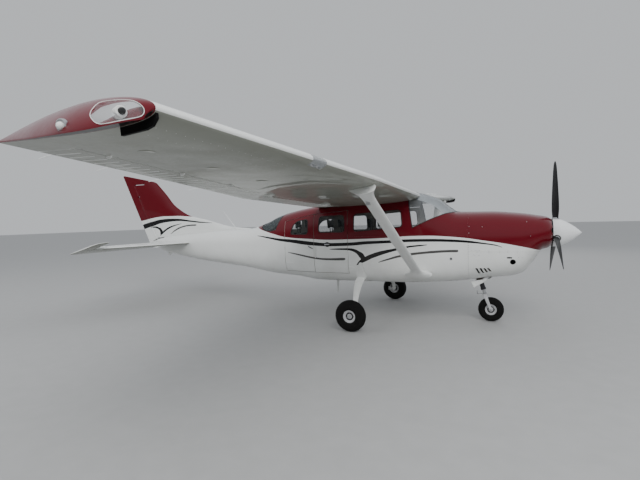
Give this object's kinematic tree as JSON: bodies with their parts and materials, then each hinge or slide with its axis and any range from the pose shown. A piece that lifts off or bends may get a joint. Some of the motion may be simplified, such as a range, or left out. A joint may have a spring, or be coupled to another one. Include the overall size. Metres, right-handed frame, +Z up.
{
  "type": "single-engine utility aircraft",
  "caption": "Strut-braced high-wing light aircraft with fixed tricycle gear, a three-blade propeller, double cargo doors, slotted flaps and a swept fin.",
  "frame": {"origin": "middle of the whole length and span, at the height of the ground under the tyres", "axes": "+X forward to the nose, +Y to the left wing tip, +Z up"},
  "size_m": [8.61, 10.972, 2.612],
  "materials": {
    "paint_red": "gloss",
    "paint_white": "gloss",
    "blade_black": "satin",
    "steel": "satin",
    "engine_metal": "matte",
    "rim_alloy": "satin",
    "tyre": "matte",
    "glass": "polished",
    "seat_cloth": "matte",
    "panel_plastic": "matte"
  },
  "bodies": {
    "airframe": {"cabin_lower": "paint_white", "cabin_upper": "paint_red", "windshield": "glass", "rear_window": "glass", "window_right_front": "glass", "window_left_middle": "glass", "window_left_rear": "glass", "cowl_upper": "paint_red", "cowl_lower": "paint_white", "firewall": "steel", "engine_block": "engine_metal", "exhaust_stack": "steel", "instrument_panel": "panel_plastic", "seat_front_left": "seat_cloth", "seat_front_right": "seat_cloth", "seat_middle": "seat_cloth", "seat_rear": "seat_cloth", "wing_left": "paint_white", "wing_right": "paint_white", "wing_tip_left": "paint_red", "wing_tip_right": "paint_red", "strut_left": "paint_white", "strut_right": "paint_white", "tail_cone": "paint_white", "fin": "paint_red", "stabilizer_left": "paint_white", "stabilizer_right": "paint_white", "antenna_whip": "paint_white", "antenna_belly": "paint_white", "gear_leg_left": "paint_white", "gear_leg_right": "paint_white", "axle_left": "steel", "axle_right": "steel", "nose_strut": "steel"},
    "propeller": {"spinner": "paint_white", "blade_1": "blade_black", "blade_2": "blade_black", "blade_3": "blade_black"},
    "nose_fork": {"nose_fork": "paint_white"},
    "nose_wheel": {"nose_tyre": "tyre", "nose_rim": "rim_alloy"},
    "main_wheel_left": {"main_tyre_left": "tyre", "main_rim_left": "rim_alloy"},
    "main_wheel_right": {"main_tyre_right": "tyre", "main_rim_right": "rim_alloy"},
    "pilot_door": {"pilot_door": "paint_red", "pilot_door_window": "glass"},
    "cargo_door_front": {"cargo_door_front": "paint_red", "cargo_front_window": "glass"},
    "cargo_door_rear": {"cargo_door_rear": "paint_red", "cargo_rear_window": "glass"},
    "elevator": {"elevator": "paint_white"},
    "rudder": {"rudder": "paint_red"},
    "flap_left": {"flap_left": "paint_white"},
    "flap_right": {"flap_right": "paint_white"},
    "aileron_left": {"aileron_left": "paint_white"},
    "aileron_right": {"aileron_right": "paint_white"},
    "cowl_flap_left": {"cowl_flap_left": "paint_white"},
    "cowl_flap_right": {"cowl_flap_right": "paint_white"}
  },
  "joints": [
    {"name": "propeller_spin", "type": "hinge", "parent": "airframe", "child": "propeller", "pos_m": [4, 0, 1.306], "axis": [1, 0, 0], "continuous": true},
    {"name": "nose_steer", "type": "hinge", "parent": "airframe", "child": "nose_fork", "pos_m": [2.9887, 0, 0.7], "axis": [-0.2952, 0, 0.9554], "range_deg": [-35, 35]},
    {"name": "nose_wheel_spin", "type": "hinge", "parent": "nose_fork", "child": "nose_wheel", "pos_m": [3.16, 0, 0.178], "axis": [0, 1, 0], "continuous": true},
    {"name": "main_wheel_left_spin", "type": "hinge", "parent": "airframe", "child": "main_wheel_left", "pos_m": [1.401, 1.232, 0.22], "axis": [0, 1, 0], "continuous": true},
    {"name": "main_wheel_right_spin", "type": "hinge", "parent": "airframe", "child": "main_wheel_right", "pos_m": [1.401, -1.232, 0.22], "axis": [0, 1, 0], "continuous": true},
    {"name": "pilot_door_swing", "type": "hinge", "parent": "airframe", "child": "pilot_door", "pos_m": [2.03, 0.5875, 1.2], "axis": [0, 0, -1], "range_deg": [0, 80]},
    {"name": "cargo_door_front_swing", "type": "hinge", "parent": "airframe", "child": "cargo_door_front", "pos_m": [1.135, -0.58906, 1.2], "axis": [0, 0, 1], "range_deg": [0, 90]},
    {"name": "cargo_door_rear_swing", "type": "hinge", "parent": "airframe", "child": "cargo_door_rear", "pos_m": [-0.01, -0.52019, 1.1], "axis": [0, 0, -1], "range_deg": [0, 90]},
    {"name": "elevator_swing", "type": "hinge", "parent": "airframe", "child": "elevator", "pos_m": [-3.01, 0, 1.163], "axis": [0, 1, 0], "range_deg": [0, 35.5]},
    {"name": "rudder_swing", "type": "hinge", "parent": "airframe", "child": "rudder", "pos_m": [-3.316, 0, 1.08], "axis": [-0.4537, 0, 0.8912], "range_deg": [-24, 24]},
    {"name": "flap_left_lower", "type": "hinge", "parent": "airframe", "child": "flap_left", "pos_m": [1.01876, 0.64, 1.73844], "axis": [0.0239, 0.9987, 0.0439], "range_deg": [-40, 0]},
    {"name": "flap_right_lower", "type": "hinge", "parent": "airframe", "child": "flap_right", "pos_m": [1.01876, -0.64, 1.73844], "axis": [-0.0239, 0.9987, -0.0439], "range_deg": [-40, 0]},
    {"name": "aileron_left_swing", "type": "hinge", "parent": "airframe", "child": "aileron_left", "pos_m": [1.08069, 3.3, 1.92939], "axis": [0.087, 0.9947, 0.0541], "range_deg": [-18, 18]},
    {"name": "aileron_right_swing", "type": "hinge", "parent": "airframe", "child": "aileron_right", "pos_m": [1.08069, -3.3, 1.92939], "axis": [-0.087, 0.9947, -0.0541], "range_deg": [-18, 18]},
    {"name": "cowl_flap_left_close", "type": "hinge", "parent": "airframe", "child": "cowl_flap_left", "pos_m": [3.176, 0.2, 0.688], "axis": [0, 1, 0], "range_deg": [0, 26]},
    {"name": "cowl_flap_right_close", "type": "hinge", "parent": "airframe", "child": "cowl_flap_right", "pos_m": [3.176, -0.2, 0.688], "axis": [0, 1, 0], "range_deg": [0, 26]}
  ],
  "couplings": [
    {"joint": "flap_right_lower", "follows": "flap_left_lower", "ratio": 1},
    {"joint": "aileron_right_swing", "follows": "aileron_left_swing", "ratio": -1},
    {"joint": "cowl_flap_right_close", "follows": "cowl_flap_left_close", "ratio": 1}
  ]
}
